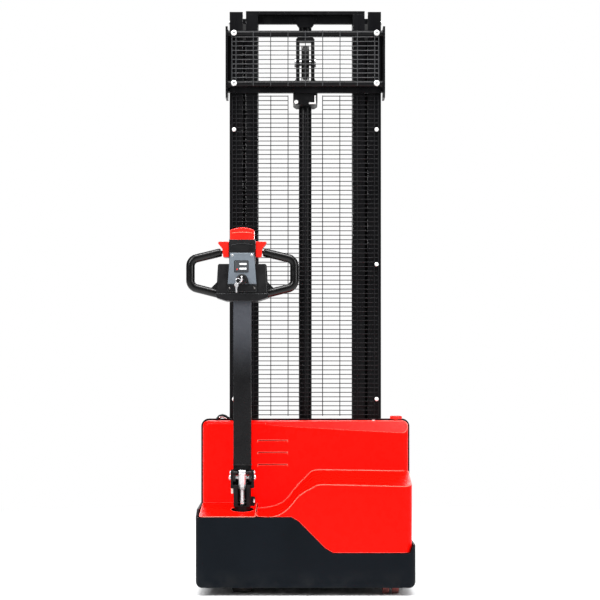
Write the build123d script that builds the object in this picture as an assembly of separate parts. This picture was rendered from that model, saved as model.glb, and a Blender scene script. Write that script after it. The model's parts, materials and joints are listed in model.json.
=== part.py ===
from build123d import *
import math
import os

# Walkie stacker: pedestrian fork-over stacker with a two-stage mast.
# Working frame: X to the right seen from the operator, Y forward from the rear face of the
# bumper skirt, Z up from the floor, X = 0 on the centre plane of the mast. Each part is moved to
# the library frame (origin at the middle of the footprint, on the floor) when it is written.

# ---- driving dimensions (mm) ----
TRUCK_WIDTH = 800
MAST_HEIGHT = 2208
FORK_LENGTH = 1150
FORK_WIDTH = 170
FORK_CENTRE = 200          # fork centre line from the centre plane
FORK_TOP = 88              # lowered fork height
DRIVE_WHEEL_D = 210
DRIVE_WHEEL_W = 70
CASTER_D = 100
LOAD_ROLLER_D = 80
LOAD_ROLLER_W = 76
FLOOR_GAP = 30             # clearance under the skirt
MAST_Y = 360               # rear face of the mast channels
TILLER_X = -234            # steering axis
TILLER_Y = 128
HANDLE_LEVEL = 1347        # top of the tiller head
FIT = 0.3                  # clearance between parts that move on each other

# ---- skirt, covers and plate ----
SKIRT_WALL = 8
SKIRT_CORNER = 30
SKIRT_LEFT_TOP = 284
SKIRT_RIGHT_TOP = 154
SKIRT_LIP = 184
SKIRT_BOTTOM_R = 24
COVER_HALF = 388
COVER_WALL = 4
COVER_TOP = 630
COVER_FRONT = 338          # front edge of both covers
COVER_REAR = 6             # rear face of the proud lower body
SLAB_REAR = 225            # rear face of the upper body
BEVEL_LEFT = -150          # where the bevel of the top rear edge starts
SEAM = 2
LEDGE_REAR_TOP = 286
LEDGE_FRONT_TOP = 319
LEDGE_RIGHT = -181
PLATE_Y = 340
PLATE_T = 8
PLATE_TOP = 637

# ---- mast ----
MAST_HALF = 292
CHANNEL_DEPTH = 120
FLANGE_T = 11
WEB_T = 10
OUTER_FLANGE = 51
INNER_GAP = 12
INNER_FLANGE = 46
INNER_WEB_T = 8
OUTER_BOTTOM = 30
OUTER_TOP = MAST_HEIGHT - 3
INNER_BOTTOM = 75
BASE_BEAM_TOP = 62
ROLLER_W = 36
CARRIAGE_ROLLER_W = 32
STUB_D = 30
TOP_PLATE_T = 13
CYLINDER_D = 50
CYLINDER_Y = 430
ROD_D = 34
CHAIN_WHEEL_R = 62
CHAIN_WHEEL_Z = MAST_HEIGHT - 186
CHAIN_W = 22
CHAIN_WHEEL_HALF = 15
CHAIN_T = 11
BEAM_Z = (MAST_HEIGHT - 318, MAST_HEIGHT - 296)      # outer mast cross-beam
CYLINDER_TOP = MAST_HEIGHT - 283
HEAD_BOTTOM = MAST_HEIGHT - 360
HEAD_REAR = 69             # from the cylinder axis to the rear face of its head block
YOKE_FOOT = MAST_HEIGHT - 268
YOKE_TOP = MAST_HEIGHT - 81
AXLE_D = 24
MAST_ROLLER_Z = 130
CARRIAGE_LOW = 95
CARRIAGE_HIGH = 500
CARRIAGE_ROLLER_Z = (150, 440)
GUARD_Y = 338
GUARD_Z = (MAST_HEIGHT - 93, MAST_HEIGHT - 285.5)
GUARD_TUBE_D = 25
WIRE_D = 3.2
WIRE_PITCH = 66.5
ROW_PITCH = 17.3
MESH_GAP = 9               # from the cross-beam down to the lower mesh
LOAD_AXLE_D = 20

# ---- values that follow ----
BAR_Y = MAST_Y + CHANNEL_DEPTH + 4
FRONT_SHANK_Y = BAR_Y + 20
FORK_SHANK_T = 40
LENGTH = FRONT_SHANK_Y + FORK_SHANK_T + FORK_LENGTH
CHANNEL_MID_Y = MAST_Y + CHANNEL_DEPTH / 2
CHANNEL_FRONT_Y = MAST_Y + CHANNEL_DEPTH
ROLLER_D = CHANNEL_DEPTH - 2 * FLANGE_T - 2 * FIT
OUTER_TIP = MAST_HALF - OUTER_FLANGE
INNER_OUTER = OUTER_TIP - INNER_GAP
OUTER_FRONT_TIP = INNER_OUTER + 4
INNER_TIP = INNER_OUTER - INNER_FLANGE
PLATE_FRONT_Y = PLATE_Y + PLATE_T
DRIVE_R = DRIVE_WHEEL_D / 2
LOAD_Y = LENGTH - 110

# ---- drive unit, caster and things inside ----
COLUMN_D = 60
COLUMN_TOP = 316           # top of the steering column, above the ledge
RING_OUTER_D = 184
RING_BORE_D = 142
DRIVE_HUB_D = 150
DRIVE_DECK = 256           # underside of the deck over the drive unit
CASTER_DECK = 168          # underside of the deck over the caster
TRAY_LEFT = -62
TRAY_RIGHT = 205
CASTER_X = 311
CASTER_Y = 104
CASTER_TRAIL = 22
CASTER_HALF = 30           # half the width over the twin wheels
KINGPIN_D = 24
PIPE_X = 140
PIPE_Z = 110
PIPE_D = 12
PIPE_DROP_Y = 312
VALVE_Z0 = 430
ESTOP_X = 345
ESTOP_Y = 285
ESTOP_STEM_D = 16

# ---- tiller head ----
LOOP_HALF = 193
LOOP_TUBE_D = 32
ARM_W = 67
ARM_DEPTH = 44
PIVOT_Z = 422
PIVOT_Y = TILLER_Y + 10
PIVOT_D = 16
BRACKET_DROP = 26          # from the pivot down to the top of its bracket's foot
EAR_IN = 34.5
EAR_OUT = 43
SPRING_ARM = 30            # from the pivot to the gas spring pin
TILT_DEG = 80
SPRING_TUBE_D = 28
SPRING_ROD_D = 18
SPRING_FOOT_Z = 329
ARM_START_Z = 470
NECK_TOP = 1302
PANEL_FACE = 44
KEY_Z = 1153
PADDLE_Z = 1258
SPIGOT_D = 12
ARM_TOP_Z = 1092
HEAD_Z = 1075              # bottom of the head's flange

SPRING_Y = PIVOT_Y - SPRING_ARM * math.cos(math.radians(TILT_DEG / 2))
SPRING_PIN_Z = PIVOT_Z + SPRING_ARM * math.sin(math.radians(TILT_DEG / 2))
SPRING_STROKE = 2 * SPRING_ARM * math.sin(math.radians(TILT_DEG / 2))

OFFSET_X = (TRUCK_WIDTH / 2 - (TILLER_X - LOOP_HALF - LOOP_TUBE_D / 2)) / 2 - TRUCK_WIDTH / 2
OFFSET_Y = -LENGTH / 2

os.makedirs("parts", exist_ok=True)


def block(x0, x1, y0, y1, z0, z1):
    """A box between two corners."""
    return Pos((x0 + x1) / 2, (y0 + y1) / 2, (z0 + z1) / 2) * Box(abs(x1 - x0), abs(y1 - y0), abs(z1 - z0))


def rod_x(x0, x1, y, z, d):
    """A cylinder along X."""
    return Pos((x0 + x1) / 2, y, z) * Rot(0, 90, 0) * Cylinder(d / 2, abs(x1 - x0))


def rod_y(x, y0, y1, z, d):
    """A cylinder along Y."""
    return Pos(x, (y0 + y1) / 2, z) * Rot(90, 0, 0) * Cylinder(d / 2, abs(y1 - y0))


def rod_z(x, y, z0, z1, d):
    """A cylinder along Z."""
    return Pos(x, y, (z0 + z1) / 2) * Cylinder(d / 2, abs(z1 - z0))


def rear_prism(points, y0, y1):
    """A prism along Y from a closed outline of (x, z) points."""
    face = make_face(Polyline(*[(x, y0, z) for x, z in points], close=True))
    return extrude(face, amount=y1 - y0, dir=(0, 1, 0))


def side_prism(points, x0, x1):
    """A prism along X from a closed outline of (y, z) points."""
    face = make_face(Polyline(*[(x0, y, z) for y, z in points], close=True))
    return extrude(face, amount=x1 - x0, dir=(1, 0, 0))


def plan_prism(points, z0, z1):
    """A prism along Z from a closed outline of (x, y) points."""
    face = make_face(Polyline(*[(x, y, z0) for x, y in points], close=True))
    return extrude(face, amount=z1 - z0, dir=(0, 0, 1))


def rounded(part, axis, radius, where=lambda edge: True):
    """Fillet the straight edges along one axis that pass the test."""
    return fillet([e for e in part.edges().filter_by(axis) if where(e)], radius)


def both_sides(part):
    """The part and its mirror image in the centre plane."""
    return [part, mirror(part, about=Plane.YZ)]


def write(name, *solids):
    """Write one node, moved to the library frame."""
    moved = [Pos(OFFSET_X, OFFSET_Y, 0) * s for piece in solids for s in piece.solids()]
    shape = moved[0] if len(moved) == 1 else Compound(children=moved)
    export_step(shape, f"parts/{name}.step")


# ---- chassis and covers ----
def skirt_outline(rise):
    """Rear view of the skirt; rise lifts its top edge by the seam."""
    half = TRUCK_WIDTH / 2
    return [
        (-half, FLOOR_GAP), (half, FLOOR_GAP), (half, SKIRT_LIP + rise), (half - 10, SKIRT_LIP + rise),
        (half - 22, SKIRT_RIGHT_TOP + rise), (100, SKIRT_RIGHT_TOP + rise), (70, SKIRT_RIGHT_TOP + 18 + rise),
        (-26, SKIRT_LEFT_TOP - 15 + rise), (-52, SKIRT_LEFT_TOP + rise), (-half, SKIRT_LEFT_TOP + rise),
    ]


def plan_block(x0, x1, y0, y1, z0, z1, radius):
    """A block whose two rear upright corners are rounded."""
    body = block(x0, x1, y0, y1, z0, z1)
    return rounded(body, Axis.Z, radius, lambda e: e.center().Y < (y0 + y1) / 2)


def bumper_skirt():
    half = TRUCK_WIDTH / 2
    shell = rear_prism(skirt_outline(0), 0, PLATE_Y)
    shell = rounded(shell, Axis.Y, SKIRT_BOTTOM_R, lambda e: e.center().Z < FLOOR_GAP + 1)
    shell &= plan_block(-half, half, 0, PLATE_Y, 0, PLATE_TOP, SKIRT_CORNER)
    inner = half - SKIRT_WALL
    shell -= plan_block(-inner, inner, SKIRT_WALL, PLATE_Y, 0, PLATE_TOP, SKIRT_CORNER - SKIRT_WALL)
    cheek = [
        (SKIRT_CORNER, SKIRT_LEFT_TOP - 4), (SKIRT_CORNER, SKIRT_LEFT_TOP), (SKIRT_CORNER + 60, SKIRT_LEFT_TOP + 24),
        (PLATE_Y, SKIRT_LEFT_TOP + 32), (PLATE_Y, SKIRT_LEFT_TOP - 4),
    ]
    return shell + side_prism(cheek, -half, -inner)


def swoosh_body(shift):
    """Lower cover body: the shelf edge rises in a swoosh; shift moves it in by the wall."""
    bottom = FLOOR_GAP
    right = COVER_HALF
    rear_curve = [(LEDGE_RIGHT, 288), (-108, 290), (-56, 325), (-17, 369), (31, 396), (80, 404)]
    slab_curve = [(LEDGE_RIGHT, 302), (-131, 307), (-80, 329), (-40, 376), (12, 430), (66, 446)]
    faces = []
    for curve, right_z, y in ((rear_curve, 397, COVER_REAR), (slab_curve, 441, SLAB_REAR)):
        y = y + shift
        points = [(x, y, z - shift) for x, z in curve]
        end = (right, y, right_z - shift)
        slope = (end[0] - points[-1][0], 0, end[2] - points[-1][2])
        edges = [
            Spline(*points, tangents=[(1, 0, 0.02), slope]),
            Line(points[-1], end),
            Line(end, (right, y, bottom)),
            Line((right, y, bottom), (LEDGE_RIGHT, y, bottom)),
            Line((LEDGE_RIGHT, y, bottom), points[0]),
        ]
        faces.append(make_face(edges))
    return loft(faces, ruled=True)


def round_top(part, top, radius):
    """Rounds the top edges of the cover's upper body, except along its open front."""
    return fillet([e for e in part.edges() if e.center().Z > top - 1 and e.center().Y < COVER_FRONT - 1], radius)


def top_bevel(shift):
    """What the bevel takes off the top rear edge: it grows to the right; shift moves it in by the wall."""
    faces = []
    for x, drop, depth in ((BEVEL_LEFT, 16, 9), (COVER_HALF + 1, 46, 34)):
        low = Vector(x, SLAB_REAR + shift, COVER_TOP - drop - shift)
        high = Vector(x, SLAB_REAR + depth + shift, COVER_TOP - shift)
        along = (high - low).normalized() * 30
        outer = Vector(x, SLAB_REAR - 40, COVER_TOP + 40)
        faces.append(make_face(Polyline(low - along, high + along, outer, close=True)))
    return loft(faces, ruled=True)


def louvre(z):
    """Recess that deepens upwards to a slot through the wall."""
    rear = SLAB_REAR - 1
    slope = side_prism([(rear, z - 5), (rear, z + 5), (SLAB_REAR + 3, z + 5), (SLAB_REAR, z - 5)], -180, -67)
    return slope + block(-180, -67, rear, SLAB_REAR + COVER_WALL + 1, z + 3, z + 5)


def rear_cover():
    half = COVER_HALF
    inner = half - COVER_WALL
    slab = plan_block(-half, half, SLAB_REAR, COVER_FRONT, FLOOR_GAP, COVER_TOP, 24)
    slab = round_top(slab, COVER_TOP, 20) - top_bevel(0)
    hollow_top = COVER_TOP - COVER_WALL
    slab_hollow = plan_block(-inner, inner, SLAB_REAR + COVER_WALL, COVER_FRONT, 0, hollow_top, 20)
    slab_hollow = round_top(slab_hollow, hollow_top, 16) - top_bevel(COVER_WALL)
    shelf = swoosh_body(0) & plan_block(LEDGE_RIGHT, half, COVER_REAR, SLAB_REAR + 1, 0, COVER_TOP, 40)
    shelf_room = plan_block(
        LEDGE_RIGHT + COVER_WALL, inner, COVER_REAR + COVER_WALL, SLAB_REAR + COVER_WALL + 1, 0, COVER_TOP, 36
    )
    shelf_hollow = swoosh_body(COVER_WALL) & shelf_room
    cover = slab + shelf - slab_hollow - shelf_hollow
    cover -= block(80, inner, SLAB_REAR - 5, SLAB_REAR + 40, 0, LEDGE_FRONT_TOP + 76)
    cover -= rear_prism(skirt_outline(SEAM), 0, PLATE_Y)
    cover -= block(-half - 1, LEDGE_RIGHT, 0, PLATE_Y, 0, LEDGE_FRONT_TOP + SEAM)
    for z in (553, 508, 462):
        cover -= louvre(z)
    cover -= rod_z(ESTOP_X, ESTOP_Y, COVER_TOP - 10, COVER_TOP + 1, ESTOP_STEM_D + 2 * FIT)
    return cover


def footwell_cover():
    def ledge(drop, rear, left, right):
        profile = [
            (rear, 200), (rear, LEDGE_REAR_TOP - drop), (SLAB_REAR, LEDGE_FRONT_TOP - drop),
            (COVER_FRONT, LEDGE_FRONT_TOP - drop), (COVER_FRONT, 200),
        ]
        return side_prism(profile, left, right)

    right = LEDGE_RIGHT - SEAM
    shell = ledge(0, COVER_REAR, -COVER_HALF, right)
    shell = rounded(shell, Axis.Z, 24, lambda e: e.center().Y < 20 and e.center().X < -300)
    shell -= ledge(COVER_WALL, 0, -COVER_HALF + COVER_WALL, right + 1)
    shell -= rear_prism(skirt_outline(SEAM), 0, PLATE_Y)
    return shell - rod_z(TILLER_X, TILLER_Y, 200, 400, COLUMN_D + 24)


def backing_plate():
    half = TRUCK_WIDTH / 2
    plate = block(-half, half, PLATE_Y, PLATE_FRONT_Y, 40, PLATE_TOP)
    plate = rounded(plate, Axis.Y, 30, lambda e: e.center().Z > PLATE_TOP - 1)
    for side in (-1, 1):
        plate += block(side * (OUTER_TIP + 4), side * (MAST_HALF - 4), PLATE_FRONT_Y, MAST_Y, 60, 600)
    return plate - rod_y(PIPE_X, PLATE_Y - 1, PLATE_FRONT_Y + 1, PIPE_Z, PIPE_D + 10)


def chassis_floor():
    t = 8
    left, step, rise, right = -386, TRAY_LEFT, TRAY_RIGHT, 378
    low, mid, high = 60, CASTER_DECK, DRIVE_DECK
    points = [
        (left, high + t), (step, high + t), (step, low + t), (rise, low + t), (rise, mid + t), (right, mid + t),
        (right, mid), (rise + t, mid), (rise + t, low), (step - t, low), (step - t, high), (left, high),
    ]
    deck = rear_prism(points, 30, PLATE_Y)
    deck -= rod_z(TILLER_X, TILLER_Y, high - 1, high + t + 1, COLUMN_D + 4)
    return deck - rod_z(CASTER_X, CASTER_Y, mid - 1, mid + t + 1, KINGPIN_D + 2 * FIT)


# ---- outer mast, legs, guard and lift cylinder ----
def channel(tip, outside, web, bottom, top):
    """A right-hand mast channel that opens towards the centre plane."""
    profile = block(tip, outside, MAST_Y, CHANNEL_FRONT_Y, bottom, top)
    return profile - block(tip - 1, outside - web, MAST_Y + FLANGE_T, CHANNEL_FRONT_Y - FLANGE_T, bottom, top)


def outer_channel():
    rail = channel(OUTER_TIP, MAST_HALF, WEB_T, OUTER_BOTTOM, OUTER_TOP)
    lip_y = CHANNEL_FRONT_Y - FLANGE_T
    return rail + block(OUTER_FRONT_TIP, OUTER_TIP + 1, lip_y, CHANNEL_FRONT_Y, BASE_BEAM_TOP, OUTER_TOP)


def mast_base_beam():
    return block(-OUTER_TIP, OUTER_TIP, MAST_Y, CHANNEL_FRONT_Y, OUTER_BOTTOM, BASE_BEAM_TOP)


def guide_pads():
    pads = []
    for y, tip in ((MAST_Y, OUTER_TIP), (CHANNEL_FRONT_Y - FLANGE_T, OUTER_FRONT_TIP)):
        pad = block(INNER_OUTER + FIT, tip, y, y + FLANGE_T, MAST_HEIGHT - 110, MAST_HEIGHT - 50)
        pads += both_sides(pad)
    return pads


def support_leg():
    wall = 8
    inner, outer = FORK_CENTRE - LOAD_ROLLER_W / 2 - 4 - wall, FORK_CENTRE + LOAD_ROLLER_W / 2 + 4 + wall
    low, top, start, end = 22, LOAD_ROLLER_D - 4, CHANNEL_FRONT_Y, LOAD_Y + LOAD_ROLLER_D / 2 + 16
    rear_web = LOAD_Y - LOAD_ROLLER_D / 2 - 14
    leg = block(inner, outer, start, end, low, top)
    leg -= block(inner + wall, outer - wall, start + wall, rear_web, low - 1, top - wall)
    leg -= block(inner + wall, outer - wall, rear_web + wall, end - wall, low - 1, top + 1)
    toe = [e for e in leg.edges().filter_by(Axis.X) if e.center().Z < low + 1 and e.center().Y > end - 1]
    leg = chamfer(toe, 7)
    return leg - rod_x(inner - 1, outer + 1, LOAD_Y, LOAD_ROLLER_D / 2, LOAD_AXLE_D)


def load_axle():
    half = LOAD_ROLLER_W / 2 + 4 + 8
    return rod_x(FORK_CENTRE - half, FORK_CENTRE + half, LOAD_Y, LOAD_ROLLER_D / 2, LOAD_AXLE_D)


def load_roller():
    half = LOAD_ROLLER_W / 2
    wheel = rod_x(FORK_CENTRE - half, FORK_CENTRE + half, LOAD_Y, LOAD_ROLLER_D / 2, LOAD_ROLLER_D)
    wheel = chamfer(wheel.edges().filter_by(GeomType.CIRCLE), 3)
    return wheel - rod_x(100, 300, LOAD_Y, LOAD_ROLLER_D / 2, LOAD_AXLE_D + 2 * FIT)


def outer_crossbeam():
    beam = block(-MAST_HALF, MAST_HALF, MAST_Y - 14, MAST_Y, *BEAM_Z)
    return beam


def guard_frame():
    side_x, side_t = MAST_HALF + 6, 8
    low, high = BEAM_Z[0] - 21, GUARD_Z[0] + 26
    y0, y1 = GUARD_Y - GUARD_TUBE_D / 2 - 3, MAST_Y + 40
    profile = [(y0, low + 20), (y0 + 12, low), (y1, low), (y1, high), (y0, high)]
    plates = both_sides(side_prism(profile, side_x, side_x + side_t))
    frame = plates[0] + plates[1]
    for z in GUARD_Z:
        frame += rod_x(-side_x - 1, side_x + 1, GUARD_Y, z, GUARD_TUBE_D)
        for foot in both_sides(block(MAST_HALF - 30, MAST_HALF - 8, GUARD_Y, MAST_Y, z - 9, z + 9)):
            frame += foot
    for spacer in both_sides(block(MAST_HALF, side_x + 1, MAST_Y + 10, MAST_Y + 36, low + 30, high - 30)):
        frame += spacer
    return frame


def wires(z_values, z_low, z_high, y_vertical, edge, notch_half, notch_z):
    """Crossing wires; above notch_z those inside notch_half are left out."""
    y_horizontal = y_vertical + WIRE_D + 0.02
    solids = []
    for z in z_values:
        if z > notch_z:
            solids += both_sides(rod_x(notch_half, edge, y_horizontal, z, WIRE_D))
        else:
            solids.append(rod_x(-edge, edge, y_horizontal, z, WIRE_D))
    columns = [i * WIRE_PITCH for i in range(-4, 5)] + [-edge + WIRE_D / 2, edge - WIRE_D / 2]
    for x in columns:
        top = notch_z if abs(x) < notch_half - 1 else z_high
        solids.append(rod_z(x, y_vertical, z_low, top, WIRE_D))
    return solids


def guard_mesh():
    count = math.floor((GUARD_Z[0] - GUARD_Z[1] - GUARD_TUBE_D - 10) / ROW_PITCH)
    rows = [GUARD_Z[1] + GUARD_TUBE_D / 2 + 10 + i * ROW_PITCH for i in range(count + 1)]
    y = GUARD_Y - GUARD_TUBE_D / 2 - WIRE_D / 2 - 0.02
    return wires(rows, GUARD_Z[1] - 10, GUARD_Z[0] + 10, y, MAST_HALF - 9, 0, MAST_HEIGHT)


def lower_mesh():
    low, high, notch = PLATE_TOP + 10, BEAM_Z[0] - MESH_GAP, HEAD_BOTTOM - 31
    count = math.floor((high - low) / ROW_PITCH)
    rows = [high - WIRE_D / 2 - i * ROW_PITCH for i in range(count + 1)]
    return wires(rows, low, high, MAST_Y - 6.7, MAST_HALF - 9, WIRE_PITCH, notch)


def steel_fasteners():
    """Screws of the guard, mesh, mast top, cylinder head and cover."""
    pieces = []
    for z in GUARD_Z:
        tube_y = GUARD_Y - GUARD_TUBE_D / 2
        face_y = tube_y - WIRE_D - 0.1
        x = MAST_HALF - 18.3
        head = rod_y(x, face_y - 7, face_y, z, 22)
        head = fillet(head.edges().filter_by(GeomType.CIRCLE).sort_by(Axis.Y)[0], 5)
        pieces += both_sides(head + rod_y(x, face_y - 1, tube_y, z, 8))
    first_row = BEAM_Z[0] - MESH_GAP - WIRE_D / 2
    for row in (7.5, 37.5, 67.5):
        z = first_row - row * ROW_PITCH
        x = MAST_HALF - 17.6
        face_y = MAST_Y - 6.7 - WIRE_D / 2
        head = rod_y(x, face_y - 6, face_y, z, 16)
        head = fillet(head.edges().filter_by(GeomType.CIRCLE).sort_by(Axis.Y)[0], 4)
        pieces += both_sides(head + rod_y(x, face_y - 1, MAST_Y, z, 8))
    pieces += both_sides(rod_x(MAST_HALF, MAST_HALF + 6, CHANNEL_MID_Y, MAST_HEIGHT - 31, 18))
    rear = CYLINDER_Y - HEAD_REAR
    pieces.append(rod_y(-35, rear - 7, rear, HEAD_BOTTOM + 9, 15))
    elbow = block(14, 41, rear - 7, rear, HEAD_BOTTOM + 1, HEAD_BOTTOM + 7)
    pieces.append(elbow + block(35, 41, rear - 7, rear, HEAD_BOTTOM + 1, HEAD_BOTTOM + 34))
    pieces.append(rod_z(259, ESTOP_Y, COVER_TOP, COVER_TOP + 3, 12))
    return pieces


def cylinder_tube():
    base = BASE_BEAM_TOP
    tube = rod_z(0, CYLINDER_Y, base, CYLINDER_TOP, CYLINDER_D)
    tube -= rod_z(0, CYLINDER_Y, base + 28, CYLINDER_TOP - 30, CYLINDER_D - 10)
    tube -= rod_z(0, CYLINDER_Y, base + 28, CYLINDER_TOP + 1, ROD_D + 0.1)
    port_y = CYLINDER_Y - CYLINDER_D / 2
    tube += block(-14, 14, port_y - 8, port_y + 4, PIPE_Z - 14, PIPE_Z + 14)
    return tube - rod_y(0, port_y - 9, CYLINDER_Y, PIPE_Z, PIPE_D - 4)


def cylinder_head():
    half = 47
    outline = [
        (-half, BEAM_Z[1]), (half, BEAM_Z[1]), (half, HEAD_BOTTOM + 8), (half - 12, HEAD_BOTTOM),
        (12 - half, HEAD_BOTTOM), (-half, HEAD_BOTTOM + 8),
    ]
    head = rear_prism(outline, CYLINDER_Y - HEAD_REAR, CYLINDER_Y + 33)
    return head - rod_z(0, CYLINDER_Y, HEAD_BOTTOM - 1, MAST_HEIGHT, CYLINDER_D + 0.1)


def lift_pipe():
    """Rigid pipe from the valve block to the port at the foot of the cylinder."""
    port = CYLINDER_Y - CYLINDER_D / 2 - 8
    points = [
        (PIPE_X, PIPE_DROP_Y, VALVE_Z0), (PIPE_X, PIPE_DROP_Y, PIPE_Z), (PIPE_X, MAST_Y - 2, PIPE_Z),
        (0, MAST_Y - 2, PIPE_Z), (0, port, PIPE_Z),
    ]
    path = FilletPolyline(*points, radius=18)
    section = Plane(origin=points[0], z_dir=(0, 0, -1)) * Circle(PIPE_D / 2)
    return sweep(section, path=path)


# ---- inner mast ----
def inner_channel():
    rail = channel(INNER_TIP, INNER_OUTER, INNER_WEB_T, INNER_BOTTOM, MAST_HEIGHT - TOP_PLATE_T)
    return rail + rod_x(INNER_OUTER - 1, MAST_HALF - WEB_T - 1, CHANNEL_MID_Y, MAST_ROLLER_Z, STUB_D)


def inner_top_beam():
    beam = block(-INNER_OUTER, INNER_OUTER, MAST_Y, CHANNEL_FRONT_Y, MAST_HEIGHT - TOP_PLATE_T, MAST_HEIGHT)
    rail_y = MAST_Y + 25
    beam += block(-INNER_TIP, INNER_TIP, rail_y, rail_y + 12, MAST_HEIGHT - 44, MAST_HEIGHT - TOP_PLATE_T)
    return beam + rod_z(0, CYLINDER_Y, YOKE_TOP, MAST_HEIGHT - TOP_PLATE_T, 50)


def inner_bottom_beam():
    return block(-INNER_TIP, INNER_TIP, MAST_Y + 2, MAST_Y + 14, 170, 250)


def piston_rod():
    rod = rod_z(0, CYLINDER_Y, INNER_BOTTOM + 30, YOKE_FOOT, ROD_D)
    return rod + rod_z(0, CYLINDER_Y, INNER_BOTTOM + 30, INNER_BOTTOM + 60, CYLINDER_D - 11)


def chain_wheel_yoke():
    half, arm = 36, 14
    outline = [
        (-half - 8, YOKE_FOOT), (half + 8, YOKE_FOOT), (half + 8, YOKE_FOOT + 4), (half, YOKE_FOOT + 16),
        (half, YOKE_TOP - 16), (half - 14, YOKE_TOP), (14 - half, YOKE_TOP), (-half, YOKE_TOP - 16),
        (-half, YOKE_FOOT + 16), (-half - 8, YOKE_FOOT + 4),
    ]
    yoke = rear_prism(outline, CYLINDER_Y - 22, CYLINDER_Y + 22)
    yoke -= block(arm - half, half - arm, CYLINDER_Y - 23, CYLINDER_Y + 23, YOKE_FOOT + 10, YOKE_TOP - 22)
    return yoke - rod_x(-half - 1, half + 1, CYLINDER_Y, CHAIN_WHEEL_Z, AXLE_D + 0.1)


def chain_wheel_axle():
    axle = rod_x(-36, 36, CYLINDER_Y, CHAIN_WHEEL_Z, AXLE_D)
    for side in (-1, 1):
        axle += rod_x(side * 36, side * 42, CYLINDER_Y, CHAIN_WHEEL_Z, 38)
    return axle


def chain_wheel():
    half = CHAIN_WHEEL_HALF
    wheel = rod_x(-half, half, CYLINDER_Y, CHAIN_WHEEL_Z, 2 * CHAIN_WHEEL_R + 8)
    groove = rod_x(-CHAIN_W / 2 - 0.5, CHAIN_W / 2 + 0.5, CYLINDER_Y, CHAIN_WHEEL_Z, 2 * CHAIN_WHEEL_R + 9)
    groove -= rod_x(-half, half, CYLINDER_Y, CHAIN_WHEEL_Z, 2 * CHAIN_WHEEL_R - CHAIN_T - 2 * FIT)
    return wheel - groove - rod_x(-half, half, CYLINDER_Y, CHAIN_WHEEL_Z, AXLE_D + 2 * FIT)


def chain_wrap():
    outer = rod_x(-CHAIN_W / 2, CHAIN_W / 2, CYLINDER_Y, CHAIN_WHEEL_Z, 2 * CHAIN_WHEEL_R + CHAIN_T)
    ring = outer - rod_x(-CHAIN_W, CHAIN_W, CYLINDER_Y, CHAIN_WHEEL_Z, 2 * CHAIN_WHEEL_R - CHAIN_T)
    return ring & block(-CHAIN_W, CHAIN_W, 0, LENGTH, CHAIN_WHEEL_Z, MAST_HEIGHT)


def chain_strand(side, z0, z1):
    y = CYLINDER_Y + side * CHAIN_WHEEL_R
    return block(-CHAIN_W / 2, CHAIN_W / 2, y - CHAIN_T / 2, y + CHAIN_T / 2, z0, z1)


def mast_roller(x, width, z):
    """A right-hand guide roller on a stub axle."""
    roller = rod_x(x, x + width, CHANNEL_MID_Y, z, ROLLER_D)
    roller = chamfer(roller.edges().filter_by(GeomType.CIRCLE), 3)
    return roller - rod_x(x - 1, x + width + 1, CHANNEL_MID_Y, z, STUB_D + 2 * FIT)


# ---- carriage and forks ----
def carriage_side_plate():
    plate = block(INNER_TIP - 18, INNER_TIP - 3, MAST_Y + 20, BAR_Y, CARRIAGE_LOW, CARRIAGE_HIGH)
    for z in CARRIAGE_ROLLER_Z:
        plate += rod_x(INNER_TIP - 4, INNER_OUTER - INNER_WEB_T - 2, CHANNEL_MID_Y, z, STUB_D)
    return plate


def carriage_bars():
    half = FORK_CENTRE + FORK_WIDTH / 2 + 5
    bars = []
    for z in (CARRIAGE_LOW, CARRIAGE_HIGH - 80):
        bars.append(block(-half, half, BAR_Y, FRONT_SHANK_Y, z, z + 80))
    return bars


def fork():
    wall, top_t, lip = 6, 5, 36
    x0, x1 = FORK_CENTRE - FORK_WIDTH / 2, FORK_CENTRE + FORK_WIDTH / 2
    heel = FRONT_SHANK_Y + FORK_SHANK_T
    profile = [
        (FRONT_SHANK_Y, lip), (LENGTH - 110, lip), (LENGTH, FORK_TOP - 22), (LENGTH, FORK_TOP),
        (FRONT_SHANK_Y, FORK_TOP),
    ]
    blade = side_prism(profile, x0, x1)
    blade = chamfer([e for e in blade.edges().filter_by(Axis.Z) if e.center().Y > LENGTH - 1], 60, 35)
    blade -= block(x0 + wall, x1 - wall, FRONT_SHANK_Y - 1, LENGTH - 44, lip - 1, FORK_TOP - top_t)
    shank = block(x0, x1, FRONT_SHANK_Y, heel, FORK_TOP, CARRIAGE_HIGH)
    gusset = side_prism([(heel, FORK_TOP), (heel + 60, FORK_TOP), (heel, FORK_TOP + 60)], x0 + 20, x1 - 20)
    return blade + shank + gusset


# ---- things inside the covers ----
def battery(x0, x1, z0, height):
    case = block(x0, x1, 40, 300, z0, z0 + height)
    case = fillet(case.edges().filter_by(Axis.Z), 8)
    for x in (x0 + 30, x1 - 30):
        case += rod_z(x, 70, z0 + height - 1, z0 + height + 12, 18)
    return case


def batteries():
    return [
        battery(TRAY_RIGHT - 185, TRAY_RIGHT - 13, 68, 215),
        battery(TRAY_RIGHT + 9, TRAY_RIGHT + 169, CASTER_DECK + 8, 200),
    ]


def valve_block():
    body = block(PIPE_X - 40, PIPE_X + 40, 250, PLATE_Y, VALVE_Z0, VALVE_Z0 + 90)
    return body + rod_z(PIPE_X, 275, VALVE_Z0 + 89, VALVE_Z0 + 130, 34)


def hydraulic_tank():
    tank = block(PIPE_X - 210, PIPE_X - 50, SLAB_REAR + 10, PLATE_Y - 10, 440, 600)
    tank = fillet(tank.edges(), 10)
    tank += rod_x(PIPE_X - 55, PIPE_X - 40, 290, 470, 24)
    return tank + rod_z(PIPE_X - 180, 290, 599, 615, 40)


def pump_motor():
    body = rod_x(PIPE_X + 40, PIPE_X + 190, 285, VALVE_Z0 + 50, 92)
    return fillet(body.edges().filter_by(GeomType.CIRCLE).sort_by(Axis.X)[-1], 8)


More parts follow.
